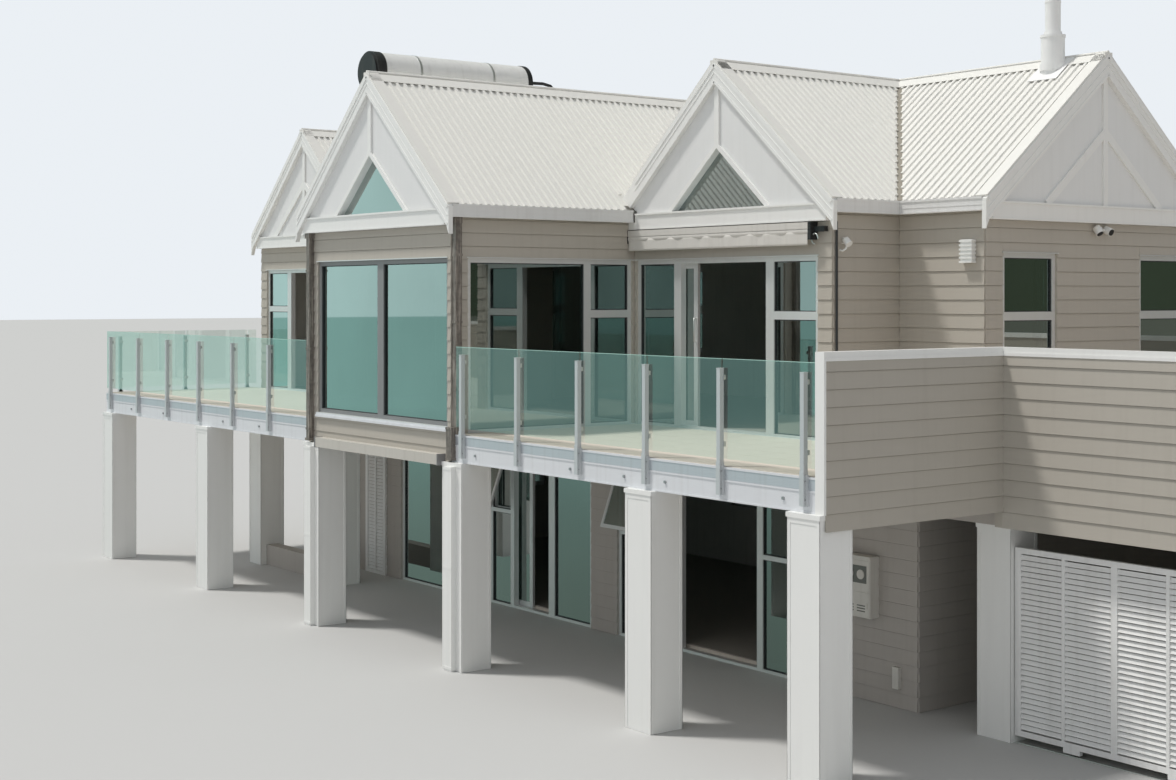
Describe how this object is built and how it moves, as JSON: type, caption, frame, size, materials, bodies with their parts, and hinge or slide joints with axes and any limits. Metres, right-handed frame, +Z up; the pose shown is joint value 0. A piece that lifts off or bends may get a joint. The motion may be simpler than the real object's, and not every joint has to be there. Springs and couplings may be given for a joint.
{
  "type": "beach house",
  "caption": "Two-storey gabled beach house on square columns, with glass-railed decks, sliding doors and a carport behind a sliding slatted gate.",
  "frame": {"origin": "ground level, centre of the foot of the fourth front column", "axes": "+X along the gable fronts towards the carport, +Y from the sea front to the back, +Z up"},
  "size_m": [24.791, 8.201, 8.39],
  "materials": {
    "render": "smooth painted render",
    "weatherboard": "taupe paint on lapped boards",
    "white_trim": "white gloss paint",
    "roof_steel": "warm white ribbed steel",
    "gutter_white": "white paint",
    "deck_concrete": "concrete with a tiled top",
    "fascia": "white and bluish grey paint",
    "frame_aluminium": "silver anodised",
    "clear_glass": "clear float glass",
    "barrier_glass": "clear toughened glass",
    "grey_frame": "mid grey paint",
    "blind_case": "pale taupe paint",
    "flue_white": "white paint",
    "post_aluminium": "grey anodised",
    "gate_white": "white powder coat",
    "steel": "galvanised",
    "tank_shell": "silver white sheet",
    "collector_glass": "dark glass over an absorber",
    "taupe_metal": "dark taupe paint",
    "awning_fabric": "pale woven cloth",
    "grey_box": "pale grey plastic",
    "gable_panel": "pale grey flat sheet",
    "tyre_nylon": "grey nylon"
  },
  "bodies": {
    "house": {"ground_floor": "deck_concrete", "upper_floor": "deck_concrete", "decks": "deck_concrete", "carport_deck": "deck_concrete", "deck_fascia": "fascia", "deck_columns": "white_trim", "carport_columns": "white_trim", "carport_beam": "render", "ground_front_wall": "render", "ground_lintels": "render", "ground_end_walls": "render", "ground_back_wall": "render", "carport_walls": "render", "wing_front_walls": "weatherboard", "wing_side_walls": "weatherboard", "main_front_walls": "weatherboard", "upper_end_walls": "weatherboard", "upper_back_wall": "weatherboard", "gable_panels": "gable_panel", "gable_trims": "white_trim", "barge_boards": "white_trim", "wing_roofs": "roof_steel", "back_roof": "roof_steel", "front_roof": "roof_steel", "eave_gutters": "gutter_white", "upper_window_frames": "frame_aluminium", "front_window_frame": "grey_frame", "low_wall": "render", "upper_door_frames": "frame_aluminium", "upper_glass": "clear_glass", "ground_frames": "frame_aluminium", "ground_glass": "clear_glass", "open_sashes": "frame_aluminium", "tracks": "steel", "balustrade_posts": "post_aluminium", "balustrade_glass": "barrier_glass", "side_parapet": "weatherboard", "carport_parapet": "weatherboard", "parapet_caps": "white_trim", "slatted_screens": "gate_white", "blind_box": "blind_case", "awning_box": "taupe_metal", "awning_cloth": "awning_fabric", "downpipes": "taupe_metal", "column_pipes": "white_trim", "solar_tank": "tank_shell", "solar_collectors": "collector_glass", "flue": "flue_white", "meter_box": "grey_box", "wall_lights": "grey_box"},
    "gate": {"gate": "gate_white", "gate_wheels": "tyre_nylon"},
    "left_door": {"left_door_leaf": "frame_aluminium", "left_door_glass": "clear_glass"},
    "right_door": {"right_door_leaf": "frame_aluminium", "right_door_glass": "clear_glass"}
  },
  "joints": [
    {"name": "gate_slide", "type": "slide", "parent": "house", "child": "gate", "axis": [1, 0, 0], "range_m": [0, 3.3]},
    {"name": "left_door_slide", "type": "slide", "parent": "house", "child": "left_door", "axis": [1, 0, 0], "range_m": [-0.345, 0.565]},
    {"name": "right_door_slide", "type": "slide", "parent": "house", "child": "right_door", "axis": [1, 0, 0], "range_m": [-1.39, 0]}
  ]
}
